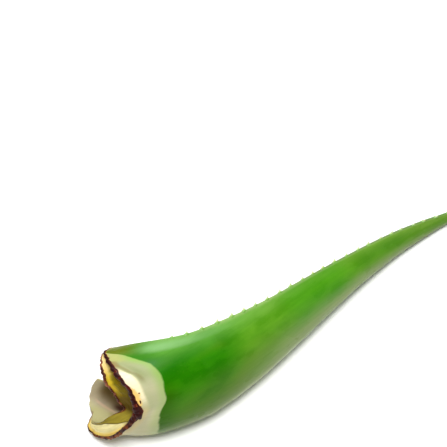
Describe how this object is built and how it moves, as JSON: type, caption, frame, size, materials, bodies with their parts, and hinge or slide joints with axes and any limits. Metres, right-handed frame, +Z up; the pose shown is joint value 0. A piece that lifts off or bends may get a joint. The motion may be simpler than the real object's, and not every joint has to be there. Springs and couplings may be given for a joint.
{
  "type": "aloe vera leaf",
  "caption": "Cut aloe vera leaf lying on its side: a thick tapering green blade with toothed edges and a pale clasping base.",
  "frame": {"origin": "bottom centre of the leaf's bounding box, on the surface it rests on", "axes": "+X from the cut base to the tip, +Y towards the hollow upper face of the leaf, +Z up"},
  "size_m": [0.5014, 0.0922, 0.0904],
  "materials": {
    "leaf_skin": "smooth waxy succulent skin, satin gloss"
  },
  "bodies": {
    "root": {"leaf": "leaf_skin"}
  },
  "joints": []
}
